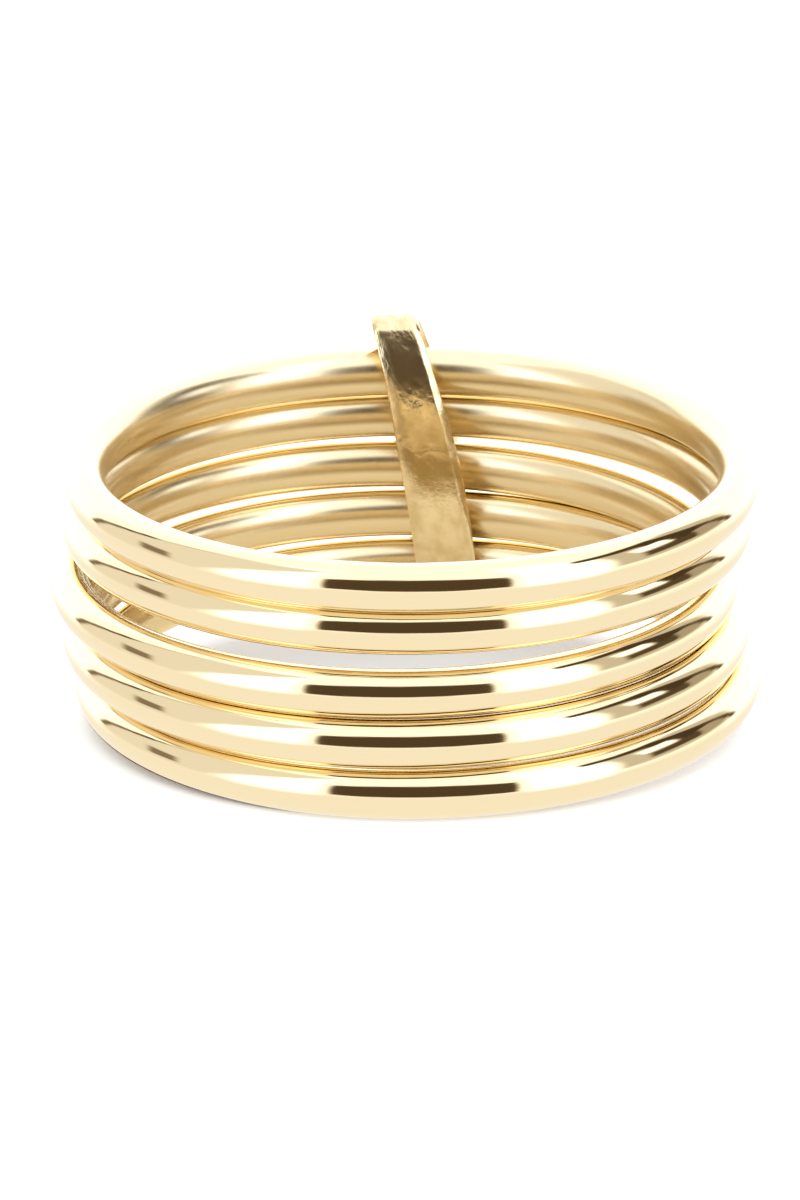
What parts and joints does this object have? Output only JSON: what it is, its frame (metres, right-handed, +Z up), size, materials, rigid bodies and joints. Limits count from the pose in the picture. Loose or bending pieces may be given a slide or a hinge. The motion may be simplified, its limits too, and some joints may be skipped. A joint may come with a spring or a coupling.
{
  "type": "multi-band ring",
  "caption": "Finger ring of loose slim polished gold bands, stacked and kept together by one oval link that they turn through.",
  "frame": {"origin": "on the surface that the ring lies on, under the middle of its outline", "axes": "+Z up along the finger hole, which leans 2.9 degrees from it; the link is at the back, +Y, and +X is to the right seen from the front"},
  "size_m": [0.0202, 0.021, 0.0095],
  "materials": {
    "gold_bands": "mirror polished yellow gold",
    "gold_link": "polished yellow gold with softened edges and fine wear"
  },
  "bodies": {
    "link": {"keeper_link": "gold_link"},
    "band_1": {"band_1": "gold_bands"},
    "band_2": {"band_2": "gold_bands"},
    "band_3": {"band_3": "gold_bands"},
    "band_4": {"band_4": "gold_bands"},
    "band_5": {"band_5": "gold_bands"}
  },
  "joints": [
    {"name": "band_1_turn", "type": "hinge", "parent": "link", "child": "band_1", "pos_m": [0.00018, -0.0007, 0.00726], "axis": [0, -0.0475, 0.9989], "continuous": true},
    {"name": "band_2_turn", "type": "hinge", "parent": "link", "child": "band_2", "pos_m": [0.00004, -0.00013, 0.00585], "axis": [0, -0.0431, 0.9991], "continuous": true},
    {"name": "band_3_turn", "type": "hinge", "parent": "link", "child": "band_3", "pos_m": [-0.00033, -0.00012, 0.00415], "axis": [0.0026, -0.0591, 0.9982], "continuous": true},
    {"name": "band_4_turn", "type": "hinge", "parent": "link", "child": "band_4", "pos_m": [-0.00002, -0.00022, 0.0027], "axis": [-0.0052, -0.056, 0.9984], "continuous": true},
    {"name": "band_5_turn", "type": "hinge", "parent": "link", "child": "band_5", "pos_m": [0.00033, -0.00012, 0.00121], "axis": [-0.0087, -0.0543, 0.9985], "continuous": true}
  ]
}
